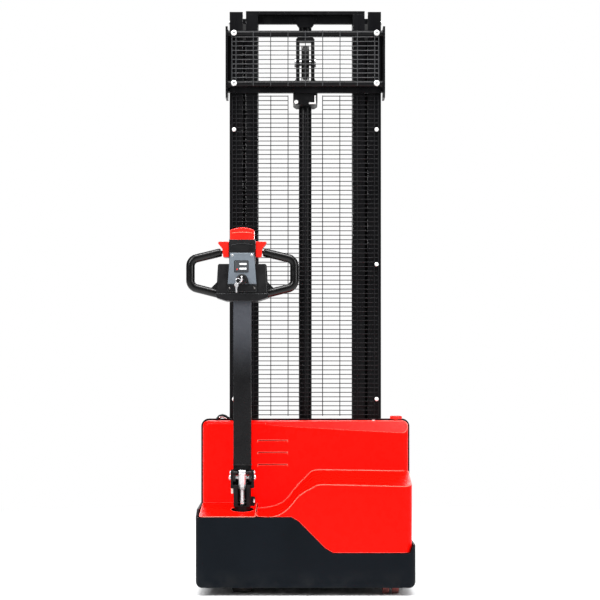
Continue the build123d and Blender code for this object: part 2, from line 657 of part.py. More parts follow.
def motor_controller():
    case = block(-350, -180, PLATE_Y - 14, PLATE_Y, 420, 580)
    for i in range(8):
        x = -342 + i * 21
        case += block(x, x + 6, PLATE_Y - 40, PLATE_Y - 13, 426, 574)
    return case


def slewing_ring():
    ring = rod_z(TILLER_X, TILLER_Y, DRIVE_DECK - 19, DRIVE_DECK, RING_OUTER_D)
    return ring - rod_z(TILLER_X, TILLER_Y, DRIVE_DECK - 20, DRIVE_DECK + 1, RING_BORE_D)


# ---- drive unit, turning about the steering axis ----
def drive_bracket():
    """Turntable plate, two cheeks beside the wheel and the steering column."""
    gap = DRIVE_WHEEL_W / 2 + 3
    plate_top = DRIVE_DECK - 20
    body = rod_z(TILLER_X, TILLER_Y, plate_top - 14, plate_top, 200)
    body += rod_z(TILLER_X, TILLER_Y, plate_top - 1, DRIVE_DECK - 2, RING_BORE_D - 2 * FIT)
    body += rod_z(TILLER_X, TILLER_Y, DRIVE_DECK - 3, COLUMN_TOP, COLUMN_D)
    for side in (-1, 1):
        x0, x1 = TILLER_X + side * gap, TILLER_X + side * (gap + 12)
        cheek = block(x0, x1, TILLER_Y - 40, TILLER_Y + 40, DRIVE_R, plate_top - 13)
        cheek += rod_x(x0, x1, TILLER_Y, DRIVE_R, 80)
        body += cheek
    return body - rod_x(TILLER_X - 80, TILLER_X + 80, TILLER_Y, DRIVE_R, 30 + 2 * FIT)


def traction_motor():
    start = TILLER_X + DRIVE_WHEEL_W / 2 + 15
    body = rod_x(start, start + 54, TILLER_Y, DRIVE_R + 45, 100)
    body = fillet(body.edges().filter_by(GeomType.CIRCLE).sort_by(Axis.X)[-1], 8)
    return body - rod_x(start - 1, start + 8, TILLER_Y, DRIVE_R, 40)


def drive_tyre():
    half = DRIVE_WHEEL_W / 2
    tyre = rod_x(TILLER_X - half, TILLER_X + half, TILLER_Y, DRIVE_R, DRIVE_WHEEL_D)
    tyre = fillet(tyre.edges().filter_by(GeomType.CIRCLE), 6)
    return tyre - rod_x(TILLER_X - 50, TILLER_X + 50, TILLER_Y, DRIVE_R, DRIVE_HUB_D)


def drive_hub():
    half = DRIVE_WHEEL_W / 2
    hub = rod_x(TILLER_X - half, TILLER_X + half, TILLER_Y, DRIVE_R, DRIVE_HUB_D)
    for side in (-1, 1):
        near, far = TILLER_X + side * (half - 10), TILLER_X + side * (half + 1)
        hub -= rod_x(near, far, TILLER_Y, DRIVE_R, DRIVE_HUB_D - 24)
    return hub + rod_x(TILLER_X - half - 15, TILLER_X + half + 15, TILLER_Y, DRIVE_R, 30)


def tiller_bracket():
    """Black base on the column: a slotted foot with two ears for the tiller."""
    x, y, slot = TILLER_X, PIVOT_Y, SPRING_TUBE_D / 2 + 2.5
    top = PIVOT_Z - BRACKET_DROP
    foot = block(x - 32, x + 32, y - 42, y + 22, COLUMN_TOP, top)
    foot = fillet(foot.edges().filter_by(Axis.Z), 8)
    foot += block(x - EAR_OUT, x + EAR_OUT, y - 30, y + 22, top - 12, top)
    foot += block(x - EAR_OUT, x + EAR_OUT, y + 21, y + 28, top - 12, PIVOT_Z + 6)
    for side in (-1, 1):
        ear = block(x + side * EAR_IN, x + side * EAR_OUT, y - 24, y + 20, top - 1, PIVOT_Z + 30)
        foot += rounded(ear, Axis.X, 12, lambda e: e.center().Z > PIVOT_Z + 29)
    foot -= block(x - slot, x + slot, y - 43, SPRING_Y + slot, COLUMN_TOP + 4, top + 4)
    foot += rod_x(x - slot - 1, x + slot + 1, SPRING_Y, SPRING_FOOT_Z, 8)
    return foot - rod_x(x - 60, x + 60, y, PIVOT_Z, PIVOT_D + 0.1)


def connector_box():
    box = block(TILLER_X + 32, TILLER_X + 48, PIVOT_Y - 24, PIVOT_Y + 4, COLUMN_TOP + 2, COLUMN_TOP + 36)
    return rounded(box, Axis.Y, 6, lambda e: e.center().X > TILLER_X + 47)


def tiller_pivot_pin():
    pin = rod_x(TILLER_X - EAR_OUT, TILLER_X + EAR_OUT, PIVOT_Y, PIVOT_Z, PIVOT_D)
    for side in (-1, 1):
        pin += rod_x(TILLER_X + side * EAR_OUT, TILLER_X + side * (EAR_OUT + 5), PIVOT_Y, PIVOT_Z, 24)
    return pin


def gas_spring_rod():
    eye = rod_x(TILLER_X - 6, TILLER_X + 6, SPRING_Y, SPRING_FOOT_Z, 18)
    rod = rod_z(TILLER_X, SPRING_Y, SPRING_FOOT_Z + 5, SPRING_PIN_Z - SPRING_STROKE - 13, SPRING_ROD_D)
    return eye + rod - rod_x(TILLER_X - 7, TILLER_X + 7, SPRING_Y, SPRING_FOOT_Z, 8.1)


def gas_spring_tube():
    low = SPRING_FOOT_Z + 10 + SPRING_STROKE + 2
    tube = rod_z(TILLER_X, SPRING_Y, low, SPRING_PIN_Z - 4, SPRING_TUBE_D)
    tube -= rod_z(TILLER_X, SPRING_Y, low - 1, SPRING_PIN_Z - 12, SPRING_ROD_D + 2 * FIT)
    return tube + rod_x(TILLER_X - 12, TILLER_X + 12, SPRING_Y, SPRING_PIN_Z, 20)


# ---- tiller, tilting about the pivot ----
def tiller_arm():
    x, half, deep = TILLER_X, ARM_W / 2, ARM_DEPTH / 2
    arm = block(x - half, x + half, PIVOT_Y - deep, PIVOT_Y + deep, ARM_START_Z, ARM_TOP_Z)
    arm = fillet(arm.edges().filter_by(Axis.Z), 6)
    room, depth = half - 4, deep - 4
    arm -= block(x - room, x + room, PIVOT_Y - depth, PIVOT_Y + depth, ARM_START_Z + 6, ARM_TOP_Z + 1)
    profile = [(-18, -14), (13, -15), (20, 0), (20, 70), (-20, 70), (-25, 24), (-25, 10)]
    ear_points = [(PIVOT_Y + dy, PIVOT_Z + dz) for dy, dz in profile]
    for side in (-1, 1):
        near, far = x + side * (half - 8), x + side * half
        arm += side_prism(ear_points, min(near, far), max(near, far))
        arm += rod_x(x + side * (SPRING_TUBE_D / 2 + 1.5), far, SPRING_Y, SPRING_PIN_Z, 10)
    arm += block(x - half + 4, x + half - 4, PIVOT_Y + 14, PIVOT_Y + 20, PIVOT_Z + 8, ARM_START_Z + 4)
    return arm - rod_x(x - 60, x + 60, PIVOT_Y, PIVOT_Z, PIVOT_D + 2 * FIT)


def head_outline(points):
    """Outline of the tiller head from half-widths and heights above the head's foot."""
    right = [(TILLER_X + dx, HEAD_Z + dz) for dx, dz in points]
    left = [(TILLER_X - dx, HEAD_Z + dz) for dx, dz in reversed(points)]
    return right + left


def tiller_head():
    x, y = TILLER_X, PIVOT_Y
    wing_points = [(60, 2), (94, 14), (97, 27), (96, 28), (90, 132), (86, 137)]
    wings = rear_prism(head_outline(wing_points), y - 34, y + 30)
    wings += rear_prism(head_outline([(58, 0), (94, 12), (97, 27)]), y - 40, y + 36)
    outer = [e for e in wings.edges() if abs(e.center().X - x) > 89]
    wings = fillet([e for e in outer if HEAD_Z + 60 < e.center().Z < HEAD_Z + 100], 8)
    head = wings + block(x - 48, x + 48, y - 34, y + 30, HEAD_Z + 100, NECK_TOP)
    head += block(x - 52, x + 52, y - 42, y - 33, HEAD_Z + 34, HEAD_Z + 60)
    for side in (-1, 1):
        gusset = [(x + side * 86, HEAD_Z + 80), (x + side * 115, HEAD_Z + 51), (x + side * 86, HEAD_Z + 40)]
        head += rear_prism(gusset, y - 7, y + 7)
    head -= block(x - 44, x + 44, y - 28, y + 24, ARM_TOP_Z, NECK_TOP - 20)
    head -= block(x - 44.9, x + 44.9, y - 31, y + 27, NECK_TOP - 14, NECK_TOP + 1)
    half, deep = ARM_W / 2 + 0.1, ARM_DEPTH / 2 + 0.1
    return head - block(x - half, x + half, y - deep, y + deep, HEAD_Z - 1, ARM_TOP_Z + 1)


def key_switch():
    boss = rod_y(TILLER_X, PIVOT_Y - 60, PIVOT_Y - PANEL_FACE, KEY_Z, 36)
    boss = fillet(boss.edges().filter_by(GeomType.CIRCLE).sort_by(Axis.Y)[0], 3)
    return boss - rod_y(TILLER_X, PIVOT_Y - 61, PIVOT_Y - 50, KEY_Z, 8 + 2 * FIT)


def tiller_panel():
    panel = rear_prism(
        [(TILLER_X + dx, z) for dx, z in ((-53, 1137), (53, 1137), (44.5, 1252), (-44.5, 1252))],
        PIVOT_Y - PANEL_FACE, PIVOT_Y - 34,
    )
    return fillet([e for e in panel.edges() if e.center().Y < PIVOT_Y - PANEL_FACE + 0.1], 3)


def handle_loops(head):
    loops = []
    for side in (-1, 1):
        corners = [(78, PADDLE_Z), (LOOP_HALF, 1230), (LOOP_HALF, 1130), (88, 1103.5)]
        points = [(TILLER_X + side * dx, PIVOT_Y, z) for dx, z in corners]
        path = FilletPolyline(*points, radius=30)
        start = Plane(origin=points[0], z_dir=Vector(*points[1]) - Vector(*points[0]))
        loop = sweep(start * Circle(LOOP_TUBE_D / 2), path=path)
        loop = fillet(loop.edges().sort_by(lambda e: abs(e.center().X - TILLER_X))[0], 6) - head
        spigot = rod_x(TILLER_X + side * 48, TILLER_X + side * 90, PIVOT_Y, PADDLE_Z, SPIGOT_D)
        loops.append(loop + spigot)
    return loops


def throttle_paddles():
    paddles = []
    outline = [(49, 1296), (88, 1296), (90, 1290), (74, 1270), (71, 1240), (66, 1237), (49, 1237)]
    for side in (-1, 1):
        paddle = rear_prism([(TILLER_X + side * dx, z) for dx, z in outline], PIVOT_Y - 20, PIVOT_Y + 20)
        paddle = fillet([e for e in paddle.edges() if abs(e.center().Y - PIVOT_Y) > 19], 3)
        paddles.append(paddle - rod_x(TILLER_X - 100, TILLER_X + 100, PIVOT_Y, PADDLE_Z, SPIGOT_D + 2 * FIT))
    return paddles


def belly_button():
    x, y = TILLER_X, PIVOT_Y
    half, low = 44.3, NECK_TOP - 6
    arch = ThreePointArc((x - half, y - 30, HANDLE_LEVEL - 10), (x, y - 30, HANDLE_LEVEL),
                         (x + half, y - 30, HANDLE_LEVEL - 10))
    outline = [
        arch, Line((x + half, y - 30, HANDLE_LEVEL - 10), (x + half, y - 30, low)),
        Line((x + half, y - 30, low), (x - half, y - 30, low)),
        Line((x - half, y - 30, low), (x - half, y - 30, HANDLE_LEVEL - 10)),
    ]
    button = extrude(make_face(outline), amount=56, dir=(0, 1, 0))
    return fillet([e for e in button.edges() if e.center().Z > HANDLE_LEVEL - 12], 4)


def ignition_key():
    y = PIVOT_Y - 60
    key = rod_y(TILLER_X, y - 4, y + 9, KEY_Z, 8)
    bow = rod_x(TILLER_X - 1.5, TILLER_X + 1.5, y - 15, KEY_Z, 26)
    return key + bow - rod_x(TILLER_X - 2, TILLER_X + 2, y - 20, KEY_Z, 6)


def emergency_stop():
    head_low = COVER_TOP + 6
    head = rod_z(ESTOP_X, ESTOP_Y, head_low, head_low + 13, 46)
    head = fillet(head.edges().filter_by(GeomType.CIRCLE).sort_by(Axis.Z)[-1], 5)
    return head + rod_z(ESTOP_X, ESTOP_Y, COVER_TOP - 30, head_low + 1, ESTOP_STEM_D)


# ---- caster ----
def caster_fork():
    y = CASTER_Y - CASTER_TRAIL
    top = CASTER_DECK - 2
    body = rod_z(CASTER_X, CASTER_Y, top - 10, top, 80)
    body += rod_z(CASTER_X, CASTER_Y, top - 1, CASTER_DECK + 7, KINGPIN_D)
    profile = [
        (y - 14, CASTER_D / 2), (y - 14, CASTER_D / 2 + 20), (CASTER_Y - 38, top - 5), (CASTER_Y + 38, top - 5),
        (CASTER_Y + 6, CASTER_D / 2),
    ]
    body += side_prism(profile, CASTER_X - 4, CASTER_X + 4)
    body += rod_x(CASTER_X - 4, CASTER_X + 4, y, CASTER_D / 2, 28)
    return body + rod_x(CASTER_X - CASTER_HALF, CASTER_X + CASTER_HALF, y, CASTER_D / 2, 16)


def caster_wheels():
    y = CASTER_Y - CASTER_TRAIL
    wheels = []
    for side in (-1, 1):
        wheel = rod_x(CASTER_X + side * 5, CASTER_X + side * CASTER_HALF, y, CASTER_D / 2, CASTER_D)
        wheel = fillet(wheel.edges().filter_by(GeomType.CIRCLE), 4)
        wheels.append(wheel - rod_x(CASTER_X - 60, CASTER_X + 60, y, CASTER_D / 2, 16 + 2 * FIT))
    return wheels


# ---- all nodes ----
write("bumper_skirt", bumper_skirt())
write("rear_cover", rear_cover())
write("footwell_cover", footwell_cover())
write("backing_plate", backing_plate())
write("chassis_floor", chassis_floor())
write("outer_mast_channels", *both_sides(outer_channel()))
write("outer_mast_crossbeam", outer_crossbeam())
write("mast_base_beam", mast_base_beam())
write("mast_guide_pads", *guide_pads())
write("support_legs", *both_sides(support_leg()), *both_sides(load_axle()))
write("guard_frame", guard_frame())
write("guard_mesh", *guard_mesh())
write("lower_mesh", *lower_mesh())
write("steel_fasteners", *steel_fasteners())
write("cylinder_tube", cylinder_tube())
write("cylinder_head", cylinder_head())
write("batteries", *batteries())
write("hydraulic_tank", hydraulic_tank())
write("pump_motor", pump_motor())
write("valve_block", valve_block())
write("motor_controller", motor_controller())
write("lift_pipe", lift_pipe())
write("slewing_ring", slewing_ring())
write("inner_mast_channels", *both_sides(inner_channel()))
write("inner_top_beam", inner_top_beam())
write("inner_bottom_beam", inner_bottom_beam())
write("piston_rod", piston_rod())
write("chain_wheel_yoke", chain_wheel_yoke())
write("chain_wheel_axle", chain_wheel_axle())
write("chain_wheel", chain_wheel())
write("chain_wrap", chain_wrap())
write("chain_rear_strand", chain_strand(-1, BEAM_Z[1], CHAIN_WHEEL_Z))
write("chain_front_strand", chain_strand(1, CARRIAGE_HIGH, CHAIN_WHEEL_Z))
write("mast_rollers", *both_sides(mast_roller(INNER_OUTER + 14, ROLLER_W, MAST_ROLLER_Z)))
for node, height in zip(("carriage_rollers_lower", "carriage_rollers_upper"), CARRIAGE_ROLLER_Z):
    write(node, *both_sides(mast_roller(INNER_TIP + 2, CARRIAGE_ROLLER_W, height)))
write("carriage_side_plates", *both_sides(carriage_side_plate()))
write("carriage_bars", *carriage_bars())
right_fork, left_fork = both_sides(fork())
write("fork_right", right_fork)
write("fork_left", left_fork)
write("drive_bracket", drive_bracket())
write("traction_motor", traction_motor())
write("drive_tyre", drive_tyre())
write("drive_hub", drive_hub())
write("tiller_bracket", tiller_bracket(), connector_box())
write("tiller_pivot_pin", tiller_pivot_pin())
write("gas_spring_rod", gas_spring_rod())
write("gas_spring_tube", gas_spring_tube())
write("tiller_arm", tiller_arm())
head_casting = tiller_head()
write("tiller_head", head_casting, key_switch())
write("tiller_panel", tiller_panel())
write("handle_loops", *handle_loops(head_casting))
write("throttle_paddles", *throttle_paddles())
write("belly_button", belly_button())
write("ignition_key", ignition_key())
write("emergency_stop", emergency_stop())
write("caster_fork", caster_fork())
write("caster_wheels", *caster_wheels())
right_roller, left_roller = both_sides(load_roller())
write("load_roller_right", right_roller)
write("load_roller_left", left_roller)
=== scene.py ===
"""Walkie stacker: materials, fine pieces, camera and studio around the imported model."""
import json
import math
import random

import bmesh
import bpy
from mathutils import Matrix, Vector


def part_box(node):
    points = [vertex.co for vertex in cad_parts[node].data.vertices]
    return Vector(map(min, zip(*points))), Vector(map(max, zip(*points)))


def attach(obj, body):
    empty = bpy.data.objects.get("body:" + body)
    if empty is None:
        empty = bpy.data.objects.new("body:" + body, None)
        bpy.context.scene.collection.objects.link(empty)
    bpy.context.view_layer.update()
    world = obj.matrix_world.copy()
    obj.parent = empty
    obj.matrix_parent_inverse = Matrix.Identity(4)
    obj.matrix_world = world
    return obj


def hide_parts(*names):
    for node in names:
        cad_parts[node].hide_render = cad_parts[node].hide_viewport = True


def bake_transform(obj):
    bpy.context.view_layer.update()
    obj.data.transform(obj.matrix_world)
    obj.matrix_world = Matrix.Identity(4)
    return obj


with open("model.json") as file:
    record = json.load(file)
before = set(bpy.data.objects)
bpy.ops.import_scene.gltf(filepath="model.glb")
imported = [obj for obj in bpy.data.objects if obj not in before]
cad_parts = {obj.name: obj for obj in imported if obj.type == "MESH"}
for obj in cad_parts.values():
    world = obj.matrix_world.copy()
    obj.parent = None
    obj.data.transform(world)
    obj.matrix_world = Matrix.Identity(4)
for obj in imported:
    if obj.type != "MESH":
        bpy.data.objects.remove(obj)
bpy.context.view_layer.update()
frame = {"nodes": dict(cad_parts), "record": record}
NODES = frame["nodes"]
MM = 0.001


def low(node):
    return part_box(node)[0]


def high(node):
    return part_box(node)[1]


def middle(node):
    lowest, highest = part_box(node)
    return (lowest + highest) / 2


# ---------------------------------------------------------------- materials
class Tree:
    """A small helper that adds shader nodes and links them."""

    def __init__(self, name):
        self.material = bpy.data.materials.new(name)
        self.material.use_nodes = True
        self.nodes = self.material.node_tree.nodes
        self.links = self.material.node_tree.links
        self.shader = self.nodes["Principled BSDF"]
        self.coords = self.add("ShaderNodeTexCoord").outputs["Object"]

    def add(self, kind, **values):
        node = self.nodes.new(kind)
        for key, value in values.items():
            if key in node.inputs:
                node.inputs[key].default_value = value
            else:
                setattr(node, key, value)
        return node

    def link(self, source, target):
        self.links.new(source, target)

    def noise(self, scale, detail=4.0, rough=0.55, stretch=(1, 1, 1)):
        mapping = self.add("ShaderNodeMapping")
        mapping.inputs["Scale"].default_value = stretch
        self.link(self.coords, mapping.inputs["Vector"])
        texture = self.add("ShaderNodeTexNoise", Scale=scale, Detail=detail, Roughness=rough)
        self.link(mapping.outputs["Vector"], texture.inputs["Vector"])
        return texture.outputs["Fac"]

    def ramp(self, source, start, end, low_value=0.0, high_value=1.0):
        node = self.add("ShaderNodeMapRange")
        node.inputs["From Min"].default_value = start
        node.inputs["From Max"].default_value = end
        node.inputs["To Min"].default_value = low_value
        node.inputs["To Max"].default_value = high_value
        self.link(source, node.inputs["Value"])
        return node.outputs["Result"]

    def times(self, a, b):
        node = self.add("ShaderNodeMath", operation="MULTIPLY")
        self.link(a, node.inputs[0])
        self.link(b, node.inputs[1])
        return node.outputs["Value"]

    def mix(self, factor, first, second):
        """Mix of two colours; each is a colour or the output of a node."""
        node = self.add("ShaderNodeMix", data_type="RGBA")
        self.link(factor, node.inputs["Factor"])
        for socket, value in ((node.inputs[6], first), (node.inputs[7], second)):
            if isinstance(value, tuple):
                socket.default_value = (*value, 1)
            else:
                self.link(value, socket)
        return node.outputs[2]

    def edges(self, radius):
        """1 on sharp edges, 0 on flat ground, and the softened normal."""
        bevel = self.add("ShaderNodeBevel", samples=4)
        bevel.inputs["Radius"].default_value = radius
        geometry = self.add("ShaderNodeNewGeometry")
        dot = self.add("ShaderNodeVectorMath", operation="DOT_PRODUCT")
        self.link(bevel.outputs["Normal"], dot.inputs[0])
        self.link(geometry.outputs["Normal"], dot.inputs[1])
        return self.ramp(dot.outputs["Value"], 0.98, 0.80), bevel.outputs["Normal"]


def shade(color, amount):
    """A colour made darker or lighter by a factor."""
    return tuple(min(1.0, c * amount) for c in color)


def surface(name, color, rough, metallic=0.0, coat=0.0, grain=(900, 0.05), mottle=(9, 0.14),
            rough_spread=0.10, brushed=None, wear_and_highlight=None, wear_and_highlight_amount=0.5, painted_edge_highlight=False,
            edge=0.0008, dust=None, specular=0.5):
    """A procedural finish: mottled colour, grainy bump, uneven roughness, lighter edges and settled dust; the
    edges are scuffed wear, or an even painted highlight along every sharp edge.
    """
    tree = Tree(name)
    shader = tree.shader
    shader.inputs["Metallic"].default_value = metallic
    shader.inputs["Coat Weight"].default_value = coat
    shader.inputs["Coat Roughness"].default_value = 0.12
    shader.inputs["Specular IOR Level"].default_value = specular
    cloud = tree.noise(mottle[0], 5.0)
    tone = tree.mix(tree.ramp(cloud, 0.35, 0.65), shade(color, 1 - mottle[1]), shade(color, 1 + mottle[1]))
    edge_mask, soft_normal = tree.edges(edge)
    scuffs = tree.ramp(tree.noise(60, 8.0, 0.7), 0.46, 0.62)
    # lighter edges: scuffed wear, or an even painted highlight along every sharp edge
    if wear_and_highlight:
        wear_and_highlight_mask = edge_mask if painted_edge_highlight else tree.times(edge_mask, scuffs)
        tone = tree.mix(tree.ramp(wear_and_highlight_mask, 0.1, 1.0, 0, wear_and_highlight_amount), tone, wear_and_highlight)
    if dust:
        top, strength, dust_color = dust
        split = tree.add("ShaderNodeSeparateXYZ")
        tree.link(tree.coords, split.inputs["Vector"])
        height = tree.ramp(split.outputs["Z"], top, 0.0)
        patch = tree.ramp(tree.noise(14, 9.0, 0.7), 0.42, 0.75, 0, strength)
        tone = tree.mix(tree.times(height, patch), tone, dust_color)
    tree.link(tone, shader.inputs["Base Color"])
    streaks = tree.noise(30, 6.0, 0.65, brushed or (1, 1, 1))
    uneven = tree.ramp(streaks, 0.3, 0.7, rough - rough_spread, rough + rough_spread)
    tree.link(uneven, shader.inputs["Roughness"])
    fine = tree.noise(grain[0], 3.0, 0.6, brushed or (1, 1, 1))
    bump = tree.add("ShaderNodeBump", Strength=grain[1], Distance=0.0006)
    tree.link(fine, bump.inputs["Height"])
    tree.link(soft_normal, bump.inputs["Normal"])
    tree.link(bump.outputs["Normal"], shader.inputs["Normal"])
    return tree.material


DUST = (0.30, 0.28, 0.25)
BARE = (0.42, 0.41, 0.40)
MATERIALS = {
    "skirt_black": surface("skirt_black", (0.0040, 0.0056, 0.0078), 0.42, grain=(420, 0.10), mottle=(5, 0.12),
                           wear_and_highlight=BARE, wear_and_highlight_amount=0.12, dust=(0.10, 0.05, DUST), edge=0.002, specular=0.05),
    # red paint; its pale pink edge colour is a painted highlight along every sharp edge
    "red_paint": surface("red_paint", (0.97, 0.0035, 0.0012), 0.28, coat=0.035, grain=(380, 0.03),
                         mottle=(2, 0.025), rough_spread=0.05, wear_and_highlight=(1.0, 0.44, 0.34), wear_and_highlight_amount=1.0,
                         painted_edge_highlight=True, edge=0.0050, specular=0.04),
    "frame_black": surface("frame_black", (0.0045, 0.0045, 0.005), 0.34, grain=(500, 0.10), wear_and_highlight=BARE,
                           wear_and_highlight_amount=0.45, dust=(0.10, 0.2, DUST), specular=0.16),
    "mast_black": surface("mast_black", (0.0035, 0.0035, 0.004), 0.30, grain=(520, 0.08), wear_and_highlight=BARE,
                          wear_and_highlight_amount=0.04, brushed=(1, 1, 0.15), specular=0.14),
    "wire_grey": surface("wire_grey", (0.006, 0.006, 0.007), 0.36, grain=(800, 0.05), edge=0.0004,
                         specular=0.14),
    "bright_steel": surface("bright_steel", (0.80, 0.80, 0.81), 0.24, metallic=0.75, grain=(1400, 0.05),
                            brushed=(1, 1, 0.08), mottle=(18, 0.10), rough_spread=0.08),
    "dark_steel": surface("dark_steel", (0.14, 0.135, 0.13), 0.34, metallic=1.0, grain=(1100, 0.10),
                          mottle=(40, 0.25)),
    "cast_black": surface("cast_black", (0.005, 0.005, 0.0055), 0.45, grain=(650, 0.30), mottle=(30, 0.25),
                          wear_and_highlight=BARE, wear_and_highlight_amount=0.15, specular=0.14),
    # black plastic; its grey edge colour is a painted highlight along every sharp edge
    "black_plastic": surface("black_plastic", (0.006, 0.006, 0.0065), 0.34, grain=(1500, 0.16),
                             mottle=(20, 0.10),
                             edge=0.0014, specular=0.30,
                             wear_and_highlight=(0.16, 0.17, 0.18), wear_and_highlight_amount=0.7, painted_edge_highlight=True),
    "grey_plastic": surface("grey_plastic", (0.108, 0.128, 0.150), 0.48, grain=(1600, 0.22),
                            mottle=(22, 0.07),
                            edge=0.0012),
    # red plastic; its pale red edge colour is a painted highlight along every sharp edge
    "red_plastic": surface("red_plastic", (0.82, 0.012, 0.006), 0.24, coat=0.22, grain=(900, 0.05),
                           mottle=(16, 0.05), edge=0.003, specular=0.25, wear_and_highlight=(1.0, 0.20, 0.12),
                           wear_and_highlight_amount=0.7, painted_edge_highlight=True),
    "black_rubber": surface("black_rubber", (0.003, 0.003, 0.003), 0.22, grain=(1200, 0.08),
                            mottle=(25, 0.15),
                            specular=0.30),
    "tyre_rubber": surface("tyre_rubber", (0.013, 0.012, 0.012), 0.66, grain=(700, 0.35), mottle=(60, 0.35),
                           dust=(0.06, 0.5, DUST)),
    "maroon_rubber": surface("maroon_rubber", (0.17, 0.035, 0.030), 0.55, grain=(800, 0.30),
                             mottle=(50, 0.30),
                             dust=(0.03, 0.4, DUST)),
    "amber_rubber": surface("amber_rubber", (0.36, 0.15, 0.045), 0.42, grain=(800, 0.20), mottle=(50, 0.25),
                            dust=(0.03, 0.4, DUST)),
    "battery_plastic": surface("battery_plastic", (0.03, 0.03, 0.034), 0.50, grain=(900, 0.20)),
    "tank_plastic": surface("tank_plastic", (0.58, 0.56, 0.50), 0.42, grain=(700, 0.12), mottle=(12, 0.08)),
    "cast_aluminium": surface("cast_aluminium", (0.52, 0.52, 0.53), 0.36, metallic=1.0, grain=(700, 0.25),
                              mottle=(25, 0.15)),
    "guide_plastic": surface("guide_plastic", (0.012, 0.012, 0.012), 0.50, grain=(900, 0.15), specular=0.2),
}


def finish_nodes():
    """Give every CAD node the finish of its slot."""
    for entry in frame["record"]["subparts"]:
        node = NODES[entry["node"]]
        node.data.materials.clear()
        node.data.materials.append(MATERIALS[entry["material_slot"]])


def arm_finish_with_painted_reflection():
    """Gloss black with a painted slate-grey reflection that grows towards the arm's upper end."""
    material = surface("arm_black_painted_reflection", (0.0045, 0.0045, 0.005), 0.26, grain=(500, 0.06), wear_and_highlight=BARE,
                       wear_and_highlight_amount=0.3, specular=0.25)
    nodes, links = material.node_tree.nodes, material.node_tree.links
    shader = nodes["Principled BSDF"]
    coords = nodes.new("ShaderNodeTexCoord")
    split = nodes.new("ShaderNodeSeparateXYZ")
    links.new(coords.outputs["Object"], split.inputs["Vector"])
    # painted reflection: the colour turns slate grey with height on the arm's upper part
    painted_reflection_ramp = nodes.new("ShaderNodeMapRange")
    painted_reflection_ramp.interpolation_type = "SMOOTHSTEP"
    painted_reflection_ramp.inputs["From Min"].default_value = 0.78
    painted_reflection_ramp.inputs["From Max"].default_value = 1.06
    links.new(split.outputs["Z"], painted_reflection_ramp.inputs["Value"])
    mix = nodes.new("ShaderNodeMix")
    mix.data_type = "RGBA"
    links.new(painted_reflection_ramp.outputs["Result"], mix.inputs["Factor"])
    links.new(shader.inputs["Base Color"].links[0].from_socket, mix.inputs[6])
    mix.inputs[7].default_value = (0.058, 0.062, 0.072, 1)
    links.new(mix.outputs[2], shader.inputs["Base Color"])
    return material


def repaint(node, material):
    """Give one CAD node a finish of its own instead of its slot's."""
    NODES[node].data.materials.clear()
    NODES[node].data.materials.append(material)


finish_nodes()
repaint("tiller_arm", arm_finish_with_painted_reflection())
repaint("steel_fasteners", surface("zinc_plate", (0.86, 0.86, 0.85), 0.34, metallic=0.45, grain=(1500, 0.08),
                                   mottle=(130, 0.12)))
repaint("guard_mesh", surface("guard_wire", (0.020, 0.021, 0.023), 0.34, grain=(800, 0.05), edge=0.0004))


# ---------------------------------------------------------------- mesh helpers
def piece(name, bm, slot, body, material=None):
    """Makes a piece from a bmesh, smooth with sharp edges kept; it rides on its body unless that is None."""
    bmesh.ops.recalc_face_normals(bm, faces=bm.faces)
    mesh = bpy.data.meshes.new(name)
    bm.to_mesh(mesh)
    bm.free()
    mesh.materials.append(material or MATERIALS[slot])
    mesh.shade_smooth()
    mesh.set_sharp_from_angle(angle=math.radians(35))
    made = bpy.data.objects.new(name, mesh)
    bpy.context.collection.objects.link(made)
    if body:
        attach(made, body)
    return made


def bevel_edges(made, width, segments=1):
    """Rounds the sharp edges of a piece."""
    modifier = made.modifiers.new("bevel", "BEVEL")
    modifier.width = width
    modifier.segments = segments
    modifier.limit_method = "ANGLE"


def soft_box(bm, centre, size, bevel, segments=3):
    """A box with rounded edges."""
    made = bmesh.ops.create_cube(bm, size=1)
    bmesh.ops.scale(bm, vec=size, verts=made["verts"])
    bmesh.ops.translate(bm, vec=centre, verts=made["verts"])
    edges = list({edge for vert in made["verts"] for edge in vert.link_edges})
    bmesh.ops.bevel(bm, geom=edges, offset=bevel, segments=segments, profile=0.5, affect="EDGES")


def turned(bm, profile, origin, axis, sides=32):
    """A turned solid: profile is (distance along the axis, radius) pairs from one end to the other."""
    turn = Vector(axis).normalized().to_track_quat("Z", "Y").to_matrix()
    rings = []
    for along, radius in profile:
        ring = []
        for i in range(sides):
            angle = 2 * math.pi * i / sides
            spot = turn @ Vector((radius * math.cos(angle), radius * math.sin(angle), along))
            ring.append(bm.verts.new(Vector(origin) + spot))
        rings.append(ring)
    for first, second in zip(rings, rings[1:]):
        for i in range(sides):
            bm.faces.new((first[i], first[(i + 1) % sides], second[(i + 1) % sides], second[i]))
    bm.faces.new(rings[0])
    bm.faces.new(rings[-1])


def screw(bm, place, axis, radius, height):
    """A domed screw head with a hexagon socket."""
    dome = [(0, radius), (0.45 * height, radius), (0.8 * height, 0.86 * radius), (height, 0.62 * radius),
            (height, 0.45 * radius), (0.4 * height, 0.42 * radius)]
    turned(bm, dome, place, axis, 18)


